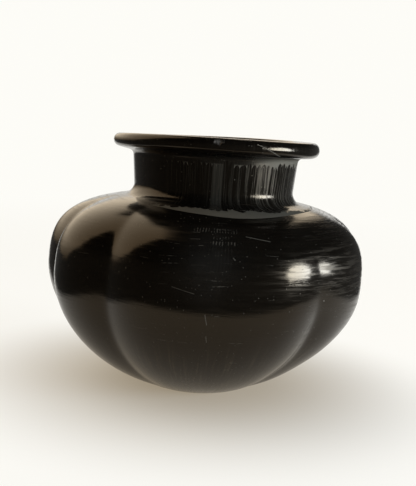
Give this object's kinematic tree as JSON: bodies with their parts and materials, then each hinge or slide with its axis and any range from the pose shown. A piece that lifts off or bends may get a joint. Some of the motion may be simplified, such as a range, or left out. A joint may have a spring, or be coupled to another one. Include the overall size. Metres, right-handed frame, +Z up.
{
  "type": "pueblo pottery jar",
  "caption": "Round black burnished jar with a melon-lobed body, a short neck and a thick everted lip, open at the top for storing or display.",
  "frame": {"origin": "centre of the flat foot, on the plane the jar stands on", "axes": "+Z up out of the mouth; the trace groove seen in front in the picture faces -Y; the neck stands a little off toward +X"},
  "size_m": [0.2285, 0.2295, 0.1781],
  "materials": {
    "blackware": "stone-burnished black slip, reduction fired"
  },
  "bodies": {
    "root": {"base": "blackware", "wall_coil_1": "blackware", "wall_coil_2": "blackware", "wall_coil_3": "blackware", "wall_coil_4": "blackware", "wall_coil_5": "blackware", "shoulder_coil": "blackware", "neck_coil_lower": "blackware", "neck_coil_upper": "blackware", "rim_coil": "blackware"}
  },
  "joints": []
}
